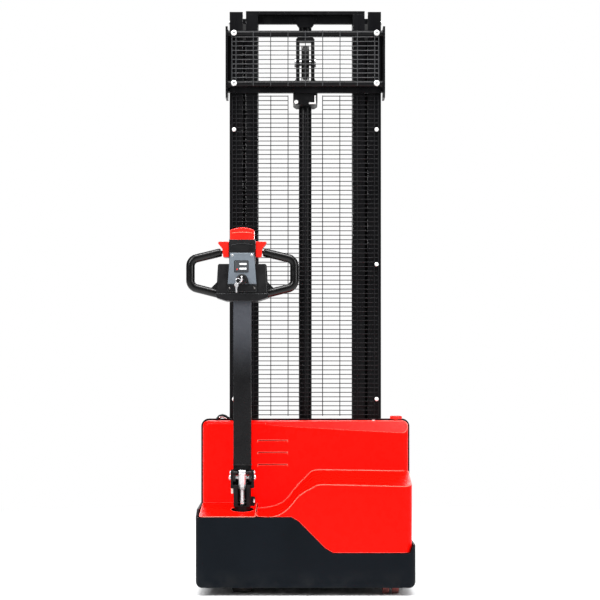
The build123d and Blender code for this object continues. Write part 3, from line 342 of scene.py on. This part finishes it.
def bar(bm, points, radius, sides=12, flat=1.0, close=False):
    """A round or flattened bar along points."""
    spots = [Vector(p) for p in points]
    count = len(spots)
    rings = []
    for i, spot in enumerate(spots):
        before = spots[i - 1] if i or close else spot
        after = spots[(i + 1) % count] if i < count - 1 or close else spot
        turn = (after - before).to_track_quat("Z", "Y").to_matrix()
        ring = []
        for k in range(sides):
            angle = 2 * math.pi * k / sides
            rim = Vector((radius * math.cos(angle), flat * radius * math.sin(angle), 0))
            ring.append(bm.verts.new(spot + turn @ rim))
        rings.append(ring)
    pairs = list(zip(rings, rings[1:])) + ([(rings[-1], rings[0])] if close else [])
    for first, second in pairs:
        for k in range(sides):
            bm.faces.new((first[k], first[(k + 1) % sides], second[(k + 1) % sides], second[k]))
    if not close:
        bm.faces.new(rings[0])
        bm.faces.new(rings[-1])


def plate(bm, outline, thickness, place):
    """A flat plate: outline in its own plane, place turns (u, v, depth) into a point."""
    back = [bm.verts.new(place(u, v, 0)) for u, v in outline]
    front = [bm.verts.new(place(u, v, thickness)) for u, v in outline]
    count = len(outline)
    for i in range(count):
        bm.faces.new((back[i], back[(i + 1) % count], front[(i + 1) % count], front[i]))
    bm.faces.new(back)
    bm.faces.new(front)


def arc(centre, radius, start, end, steps):
    """Points of an arc in degrees, as (u, v) pairs."""
    angles = [math.radians(start + (end - start) * i / steps) for i in range(steps + 1)]
    return [(centre[0] + radius * math.cos(a), centre[1] + radius * math.sin(a)) for a in angles]


# ---------------------------------------------------------------- leaf chain
CHAIN_PITCH = 15.9 * MM
LINK_HALF_HEIGHT = 5.2 * MM
LINK_T = 2.1 * MM
LINK_COLUMNS = (-8.8, -6.2, -3.6, 1.3, 3.9, 6.5)
CHAIN_PIN = [(-10.4 * MM, 2.0 * MM), (-10.0 * MM, 2.5 * MM), (10.0 * MM, 2.5 * MM), (10.4 * MM, 2.0 * MM)]


def link_outline():
    """Figure-eight side plate of one link, along u."""
    half = CHAIN_PITCH / 2
    right = arc((half, 0), LINK_HALF_HEIGHT, -72, 72, 6)
    left = arc((-half, 0), LINK_HALF_HEIGHT, 108, 252, 6)
    return right + [(0, 0.74 * LINK_HALF_HEIGHT)] + left + [(0, -0.74 * LINK_HALF_HEIGHT)]


def chain_links(name, path, body, *nodes):
    """Leaf chain along path, a function from distance to (point, direction, outward normal)."""
    point_at, length = path
    bm = bmesh.new()
    centre_x = middle("chain_wheel").x
    count = max(1, int(length / CHAIN_PITCH))
    for i in range(count):
        spot, along, normal = point_at((i + 0.5) * length / count)
        for k, column in enumerate(LINK_COLUMNS):
            if (i + k) % 2:
                continue
            x = centre_x + column * MM

            def place(u, v, depth, x=x, spot=spot, along=along, normal=normal):
                return Vector((x + depth, 0, 0)) + spot + along * u + normal * v

            plate(bm, link_outline(), LINK_T, place)
        pin, along, normal = point_at(i * length / count)
        turned(bm, CHAIN_PIN, Vector((centre_x, 0, 0)) + pin, (1, 0, 0), 10)
    made = piece(name, bm, "dark_steel", body, CHAIN_STEEL)
    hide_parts(*nodes)
    return made


def straight(y, z0, z1):
    """Path straight up at depth y, and its length."""
    def point_at(distance):
        return Vector((0, y, z0 + distance)), Vector((0, 0, 1)), Vector((0, 1, 0))

    return point_at, z1 - z0


def round_wheel(centre, radius):
    """Path over the top half of the wheel, and its length."""
    def point_at(distance):
        angle = distance / radius
        outward = Vector((0, -math.cos(angle), math.sin(angle)))
        along = Vector((0, math.sin(angle), math.cos(angle)))
        return centre + outward * radius, along, outward

    return point_at, math.pi * radius


CHAIN_STEEL = surface("chain_steel", (0.028, 0.027, 0.027), 0.34, metallic=0.6, grain=(1300, 0.08),
                      mottle=(90, 0.35))
wheel_centre = Vector((0, middle("chain_wheel").y, middle("chain_wheel").z))
front_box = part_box("chain_front_strand")
rear_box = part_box("chain_rear_strand")
wheel_radius = (front_box[0].y + front_box[1].y - rear_box[0].y - rear_box[1].y) / 4
front_path = straight(wheel_centre.y + wheel_radius, front_box[0].z, front_box[1].z)
rear_path = straight(wheel_centre.y - wheel_radius, rear_box[0].z, rear_box[1].z)
front = chain_links("front_chain_links", front_path, None, "chain_front_strand")
rear = chain_links("rear_chain_links", rear_path, None, "chain_rear_strand")
chain_links("wrapped_chain_links", round_wheel(wheel_centre, wheel_radius), "inner_mast", "chain_wrap")
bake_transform(front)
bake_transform(rear)


# ---------------------------------------------------------------- tiller head
TILLER = middle("tiller_arm").x
PANEL_REAR = low("tiller_panel").y
PANEL_SCREW = (36 * MM, 1243 * MM)      # from the tiller's centre plane, and height
FOOT_SCREW = (46 * MM, 1122 * MM)
FOOT_SCREW_SETBACK = 18.2 * MM          # from the rear of the head to the foot of the screw
SCREW_R = 4.2 * MM
KEY_Z = 1153 * MM


def facing(y):
    """Places (u, v, depth) facing the operator: u right of the tiller, v up, depth towards the operator."""
    return lambda u, v, depth: Vector((TILLER + u, y - depth, v))


def rounded_rectangle(u0, u1, v0, v1, radius):
    """Outline of a rectangle with round corners, as (u, v) pairs."""
    corners = (((u1 - radius, v0 + radius), -90), ((u1 - radius, v1 - radius), 0),
               ((u0 + radius, v1 - radius), 90), ((u0 + radius, v0 + radius), 180))
    outline = []
    for centre, start in corners:
        outline += arc(centre, radius, start, start + 90, 4)
    return outline


def add_display():
    """Battery display: bezel, screen film, two rows of lit blocks and a lamp."""
    bm = bmesh.new()
    bezel = rounded_rectangle(-29 * MM, 24 * MM, 1180 * MM, 1224 * MM, 3 * MM)
    plate(bm, bezel, 1.4 * MM, facing(PANEL_REAR + 0.2 * MM))
    made = piece("display_bezel", bm, "black_plastic", "tiller", MATERIALS["black_rubber"])
    bevel_edges(made, 0.5 * MM)
    screen = surface("screen_film", (0.045, 0.048, 0.052), 0.18, grain=(2200, 0.02), mottle=(40, 0.12))
    bm = bmesh.new()
    film = rounded_rectangle(-27 * MM, 22 * MM, 1182 * MM, 1222 * MM, 2 * MM)
    plate(bm, film, 0.5 * MM, facing(PANEL_REAR - 1.1 * MM))
    piece("display_screen", bm, "grey_plastic", "tiller", screen)
    lit = surface("display_blocks", (0.80, 0.82, 0.84), 0.35, grain=(2200, 0.02), mottle=(60, 0.08))
    bm = bmesh.new()
    spot = facing(PANEL_REAR - 1.5 * MM)
    for row, (v0, v1, cells) in enumerate(((1207, 1214, 5), (1190, 1197, 4))):
        for i in range(cells):
            u0 = -9 + i * (5.4 + 1.2 * row)
            cell = rounded_rectangle(u0 * MM, (u0 + 4.4 + row) * MM, v0 * MM, v1 * MM, 0.7 * MM)
            plate(bm, cell, 0.4 * MM, spot)
    piece("display_blocks", bm, "grey_plastic", "tiller", lit)
    bm = bmesh.new()
    turned(bm, [(0, 3.0 * MM), (0.6 * MM, 2.8 * MM), (1.0 * MM, 1.6 * MM)],
           (TILLER - 18 * MM, PANEL_REAR - 1.5 * MM, 1190.5 * MM), (0, -1, 0), 20)
    piece("display_lamp", bm, "red_plastic", "tiller")


def add_panel_screws():
    """Two screws at the top of the panel and two on the head's foot."""
    bm = bmesh.new()
    for side in (-1, 1):
        spot = (TILLER + side * PANEL_SCREW[0], PANEL_REAR + 0.3 * MM, PANEL_SCREW[1])
        screw(bm, spot, (0, -1, 0), SCREW_R, 2.2 * MM)
    piece("panel_screws", bm, "bright_steel", "tiller", SCREW_STEEL)
    bm = bmesh.new()
    for side in (-1, 1):
        spot = (TILLER + side * FOOT_SCREW[0], low("tiller_head").y + FOOT_SCREW_SETBACK, FOOT_SCREW[1])
        screw(bm, spot, (0, -1, 0), SCREW_R, 2.6 * MM)
    piece("foot_screws", bm, "bright_steel", "tiller", MATERIALS["dark_steel"])


def add_key_guard():
    """Raised collar that arches over the key switch and fans out to the panel's foot."""
    bm = bmesh.new()
    outline = [(-21 * MM, 1138 * MM), (27 * MM, 1138 * MM)]
    outline += arc((0, KEY_Z), 21 * MM, 18, 180, 14)
    plate(bm, outline, 3.5 * MM, facing(PANEL_REAR + 0.2 * MM))
    made = piece("key_collar", bm, "black_plastic", "tiller")
    bevel_edges(made, 1.6 * MM, 3)


def add_hanging_key():
    """Split ring through the key's bow, with a second key hanging from it."""
    bm = bmesh.new()
    y = low("ignition_key").y + 6 * MM
    x = TILLER - 13 * MM
    ring = [(x + 9 * MM * math.cos(a), y, 1146 * MM + 9 * MM * math.sin(a))
            for a in (2 * math.pi * i / 28 for i in range(28))]
    bar(bm, ring, 0.9 * MM, 8, close=True)
    piece("key_ring", bm, "bright_steel", "ignition_key")
    bm = bmesh.new()

    def place(u, v, depth):
        return Vector((x - 6 * MM + u, y - 1.2 * MM + depth, v))

    bow = arc((0, 1131 * MM), 7.5 * MM, -60, 240, 16)
    blade = [(-3.0 * MM, 1112 * MM), (-3.0 * MM, 1106 * MM), (0, 1102 * MM), (3.0 * MM, 1105 * MM),
             (3.0 * MM, 1110 * MM), (1.8 * MM, 1111.5 * MM), (3.0 * MM, 1113 * MM), (1.8 * MM, 1115 * MM),
             (3.0 * MM, 1117 * MM)]
    plate(bm, bow + blade, 2.2 * MM, place)
    made = piece("hanging_key", bm, "bright_steel", "ignition_key")
    bevel_edges(made, 0.4 * MM)


def add_head_ridges():
    """The moulded arc across the belly button, coloured a lighter red as a painted highlight, and the one on
    the neck below it.
    """
    bm = bmesh.new()
    y = low("belly_button").y - 0.2 * MM
    points = [((TILLER + u * MM), y, (1329 - 0.0022 * u * u) * MM) for u in range(-38, 39, 4)]
    bar(bm, points, 2.2 * MM, 10, 0.6)
    piece("button_ridge", bm, "red_plastic", "belly_button", RIDGE_RED_PAINTED_HIGHLIGHT)
    bm = bmesh.new()
    y = low("tiller_panel").y + 10 * MM
    points = [((TILLER + u * MM), y, (1287 - 0.0035 * u * u) * MM) for u in range(-40, 41, 4)]
    bar(bm, points, 1.4 * MM, 10, 0.6)
    piece("neck_ridge", bm, "black_plastic", "tiller")


def add_grip_rings():
    """Two moulded rings round the upper end of each handle loop's grip."""
    ring = [(-0.9 * MM, 15.9 * MM), (-0.4 * MM, 16.5 * MM), (0.4 * MM, 16.5 * MM), (0.9 * MM, 15.9 * MM)]
    bm = bmesh.new()
    for side in (-1, 1):
        for u, z in ((110, 1249.5), (118, 1247.4)):
            spot = (TILLER + side * u * MM, middle("handle_loops").y, z * MM)
            along = (side * 0.967, 0, -0.253)
            turned(bm, ring, spot, along, 40)
    piece("grip_rings", bm, "black_rubber", "tiller")


# lighter red for the belly button's arc: a painted highlight
RIDGE_RED_PAINTED_HIGHLIGHT = surface("ridge_red_painted_highlight", (0.95, 0.13, 0.07), 0.22, coat=0.5, grain=(900, 0.04), mottle=(16, 0.05))
SCREW_STEEL = surface("screw_steel", (0.78, 0.78, 0.78), 0.25, metallic=1.0, grain=(1600, 0.05),
                      mottle=(120, 0.15))
add_display()
add_panel_screws()
add_key_guard()
add_hanging_key()
add_head_ridges()
add_grip_rings()


# ---------------------------------------------------------------- tiller base
def add_base_hardware():
    """Pivot nuts and screws, pale label block, connector slot and the gas spring's end rings."""
    nut = [(-1 * MM, 6.5 * MM), (1.4 * MM, 6.5 * MM), (2.4 * MM, 5.2 * MM), (2.4 * MM, 3 * MM),
           (0.6 * MM, 2.8 * MM)]
    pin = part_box("tiller_pivot_pin")
    mid_y, mid_z = middle("tiller_pivot_pin").y, middle("tiller_pivot_pin").z
    bm = bmesh.new()
    for side, x in ((-1, pin[0].x), (1, pin[1].x)):
        turned(bm, nut, (x, mid_y, mid_z), (side, 0, 0), 6)
        screw(bm, (x - side * 5.5 * MM, mid_y - 4 * MM, mid_z + 19 * MM), (side, 0, 0), 6 * MM, 5 * MM)
    piece("pivot_bolts", bm, "bright_steel", "steer")
    bm = bmesh.new()
    soft_box(bm, (TILLER - 36.5 * MM, mid_y - 22 * MM, 375 * MM), (9 * MM, 12 * MM, 23 * MM), 1.5 * MM)
    piece("label_block", bm, "tank_plastic", "steer")
    bm = bmesh.new()
    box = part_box("tiller_bracket")
    soft_box(bm, (box[1].x - 4 * MM, mid_y - 26 * MM, 337 * MM), (5 * MM, 3 * MM, 14 * MM), 1 * MM)
    piece("connector_slot", bm, "bright_steel", "steer")
    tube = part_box("gas_spring_tube")
    centre = (tube[0] + tube[1]) / 2
    bm = bmesh.new()
    for z, radius in ((tube[0].z + 1.5 * MM, 14.1), (tube[0].z + 6 * MM, 14.2)):
        turned(bm, [(-1.2 * MM, radius * MM), (0, (radius + 0.5) * MM), (1.2 * MM, radius * MM)],
               (centre.x, centre.y, z), (0, 0, 1), 32)
    piece("spring_rings", bm, "dark_steel", "gas_spring")


ARM_FOOT = 470 * MM                     # height of the arm's lower end


def add_arm_weld():
    """Weld bead round the arm's lower end."""
    random.seed(5)
    bm = bmesh.new()
    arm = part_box("tiller_arm")
    ring = [(arm[0].x, arm[0].y + 3 * MM), (arm[1].x, arm[0].y + 3 * MM), (arm[1].x, arm[1].y - 3 * MM),
            (arm[0].x, arm[1].y - 3 * MM)]
    points = []
    for (x0, y0), (x1, y1) in zip(ring, ring[1:] + ring[:1]):
        for i in range(14):
            t = i / 14
            points.append((x0 + (x1 - x0) * t, y0 + (y1 - y0) * t, ARM_FOOT + random.uniform(-0.5, 0.5) * MM))
    bar(bm, points, 1.9 * MM, 8, close=True)
    piece("arm_weld", bm, "frame_black", "tiller")


add_base_hardware()
add_arm_weld()


# ---------------------------------------------------------------- cover, mast and guard
def add_cover_strap():
    """Rubber strap that loops over the cover's top left edge, with its steel hook."""
    x, y, top = low("rear_cover").x, high("rear_cover").y, high("backing_plate").z
    points = [(x + u * MM, y - 14 * MM, top + v * MM) for u, v in
              ((50, -9), (53, 0), (60, 8), (70, 11), (80, 8), (90, 1), (98, -3), (104, -7))]
    bm = bmesh.new()
    bar(bm, points, 5.5 * MM, 14, 1.3)
    piece("cover_strap", bm, "black_rubber", "truck")
    bm = bmesh.new()
    hook = [(x + u * MM, y - 22 * MM, top + v * MM) for u, v in ((58, 5), (68, 8), (78, 5), (86, 0))]
    bar(bm, hook, 1.6 * MM, 10)
    piece("strap_hook", bm, "bright_steel", "truck")


def add_top_gusset():
    """Flared gusset under the middle of the mast's top beam."""
    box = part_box("inner_top_beam")
    middle_x = (box[0].x + box[1].x) / 2
    bm = bmesh.new()
    outline = [(-52, 2194), (52, 2194), (36, 2164), (27, 2150), (-27, 2150), (-36, 2164)]

    def place(u, v, depth):
        return Vector((middle_x + u * MM, box[0].y + 21 * MM + depth, v * MM))

    plate(bm, outline, 5 * MM, place)
    made = piece("crown_gusset", bm, "mast_black", "inner_mast")
    bevel_edges(made, 1 * MM)


GUARD_TUBE_HEIGHTS = (2115 * MM, 1922.5 * MM)
GUARD_SCREW_INSET = 18.3 * MM           # from the outside of the mast channels


def add_guard_welds():
    """Weld beads where the round guard tubes meet the side plates."""
    random.seed(7)
    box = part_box("guard_frame")
    tube_y = box[0].y + 15.5 * MM
    bm = bmesh.new()
    for z in GUARD_TUBE_HEIGHTS:
        for side, x in ((1, box[0].x + 8 * MM), (-1, box[1].x - 8 * MM)):
            ring = []
            for i in range(36):
                angle = 2 * math.pi * i / 36
                reach = (12.9 + random.uniform(-0.3, 0.5)) * MM
                ring.append((x + side * random.uniform(0.6, 1.4) * MM, tube_y + reach * math.cos(angle),
                             z + reach * math.sin(angle)))
            bar(bm, ring, 1.9 * MM, 8, close=True)
    piece("guard_welds", bm, "mast_black", "truck")


def add_guard_socket_shade():
    """Painted shade: dark rings in the four screws that hold the guard's mesh, standing in for the shade
    inside their hexagon sockets.
    """
    centre_x = middle("outer_mast_channels").x
    face = low("guard_mesh").y - 7 * MM
    half = high("outer_mast_channels").x - centre_x - GUARD_SCREW_INSET
    socket = [(-0.4 * MM, 3.6 * MM), (0.25 * MM, 3.4 * MM), (0.25 * MM, 1.6 * MM), (-0.1 * MM, 1.4 * MM)]
    bm = bmesh.new()
    for z in GUARD_TUBE_HEIGHTS:
        for x in (centre_x - half, centre_x + half):
            turned(bm, socket, (x, face, z), (0, -1, 0), 24)
    piece("guard_socket_shade", bm, "black_rubber", "truck")


def add_wheel_bolts():
    """Five bolts on the outer side of the drive wheel's hub."""
    bolt = [(-4 * MM, 8 * MM), (4 * MM, 8 * MM), (5.5 * MM, 6.6 * MM)]
    circle = 32 * MM
    x = low("drive_hub").x + 26 * MM
    centre = middle("drive_hub")
    bm = bmesh.new()
    for i in range(5):
        angle = 2 * math.pi * i / 5 + 0.3
        spot = (x, centre.y + circle * math.cos(angle), centre.z + circle * math.sin(angle))
        turned(bm, bolt, spot, (-1, 0, 0), 6)
    piece("wheel_bolts", bm, "bright_steel", "drive_wheel")


def add_fork_welds():
    """Weld beads across the heels of the forks."""
    random.seed(11)
    bm = bmesh.new()
    for node in ("fork_left", "fork_right"):
        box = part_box(node)
        heel = high("carriage_bars").y + 40 * MM
        points = [(box[0].x + 6 * MM + i * (box[1].x - box[0].x - 12 * MM) / 40, heel + 0.5 * MM,
                   (88.5 + random.uniform(-0.4, 0.6)) * MM) for i in range(41)]
        bar(bm, points, 3.2 * MM, 8)
    piece("fork_welds", bm, "frame_black", "carriage")


add_cover_strap()
add_top_gusset()
add_guard_welds()
add_guard_socket_shade()
add_wheel_bolts()
add_fork_welds()


# ---------------------------------------------------------------- camera and studio
def add_camera():
    """Straight rear view from the operator's side, as in the photograph."""
    camera = bpy.data.objects.new("camera", bpy.data.cameras.new("camera"))
    camera.location = (0.001, -6.347, 0.750)
    camera.rotation_euler = (math.radians(90), 0, 0)
    camera.data.lens = 91.15
    camera.data.shift_y = 0.1485
    bpy.context.collection.objects.link(camera)
    bpy.context.scene.camera = camera


def floor_finish():
    """Matt pale floor that fades into the white backdrop a few metres away."""
    material = surface("floor", (0.86, 0.86, 0.86), 0.75, mottle=(2, 0.01), grain=(60, 0.02), specular=0.2)
    nodes, links = material.node_tree.nodes, material.node_tree.links
    coords = nodes.new("ShaderNodeTexCoord")
    distance = nodes.new("ShaderNodeVectorMath")
    distance.operation = "LENGTH"
    links.new(coords.outputs["Object"], distance.inputs[0])
    fade = nodes.new("ShaderNodeMapRange")
    fade.inputs["From Min"].default_value = 1.2
    fade.inputs["From Max"].default_value = 3.5
    links.new(distance.outputs["Value"], fade.inputs["Value"])
    glow = nodes.new("ShaderNodeEmission")
    mix = nodes.new("ShaderNodeMixShader")
    links.new(fade.outputs["Result"], mix.inputs["Fac"])
    links.new(nodes["Principled BSDF"].outputs["BSDF"], mix.inputs[1])
    links.new(glow.outputs["Emission"], mix.inputs[2])
    links.new(mix.outputs["Shader"], nodes["Material Output"].inputs["Surface"])
    return material


FLOOR_HALF = 40


def add_floor():
    mesh = bpy.data.meshes.new("floor")
    side = FLOOR_HALF
    corners = [(-side, -side, 0), (side, -side, 0), (side, side, 0), (-side, side, 0)]
    mesh.from_pydata(corners, [], [(0, 1, 2, 3)])
    floor = bpy.data.objects.new("floor", mesh)
    bpy.context.collection.objects.link(floor)
    mesh.materials.append(floor_finish())


def add_light(name, place, target, size, power):
    """Rectangular area light at place, aimed at target."""
    data = bpy.data.lights.new(name, "AREA")
    data.shape = "RECTANGLE"
    data.size, data.size_y = size
    data.energy = power
    light = bpy.data.objects.new(name, data)
    light.location = place
    light.rotation_euler = (Vector(target) - Vector(place)).to_track_quat("-Z", "Y").to_euler()
    bpy.context.collection.objects.link(light)


def add_world():
    """White to the camera, dark to reflections and mid grey to diffuse light."""
    world = bpy.data.worlds.new("studio")
    world.use_nodes = True
    bpy.context.scene.world = world
    nodes, links = world.node_tree.nodes, world.node_tree.links
    background = nodes["Background"]
    path = nodes.new("ShaderNodeLightPath")
    unseen = nodes.new("ShaderNodeMix")
    unseen.data_type = "RGBA"
    unseen.inputs[6].default_value = (0.60, 0.61, 0.63, 1)
    unseen.inputs[7].default_value = (0.10, 0.10, 0.11, 1)
    links.new(path.outputs["Is Glossy Ray"], unseen.inputs["Factor"])
    color = nodes.new("ShaderNodeMix")
    color.data_type = "RGBA"
    color.inputs[7].default_value = (1.0, 1.0, 1.0, 1)
    links.new(path.outputs["Is Camera Ray"], color.inputs["Factor"])
    links.new(unseen.outputs[2], color.inputs[6])
    links.new(color.outputs[2], background.inputs["Color"])
    background.inputs["Strength"].default_value = 1.0


add_camera()
add_floor()
add_world()
add_light("key", (-3.4, -4.2, 3.6), (0, 0, 0.8), (1.6, 2.4), 150)
add_light("fill", (3.6, -3.8, 2.4), (0, 0, 0.7), (1.2, 3.0), 90)
add_light("strip", (0.0, -1.6, 4.6), (0, -0.6, 0.5), (3.4, 0.7), 170)
add_light("floor", (0.0, -3.4, 6.5), (0, -3.4, 0), (9.0, 5.0), 420)
add_light("back", (0.5, 4.5, 3.2), (0, 0, 1.0), (4.0, 3.0), 170)
bpy.context.scene.view_settings.view_transform = "Standard"
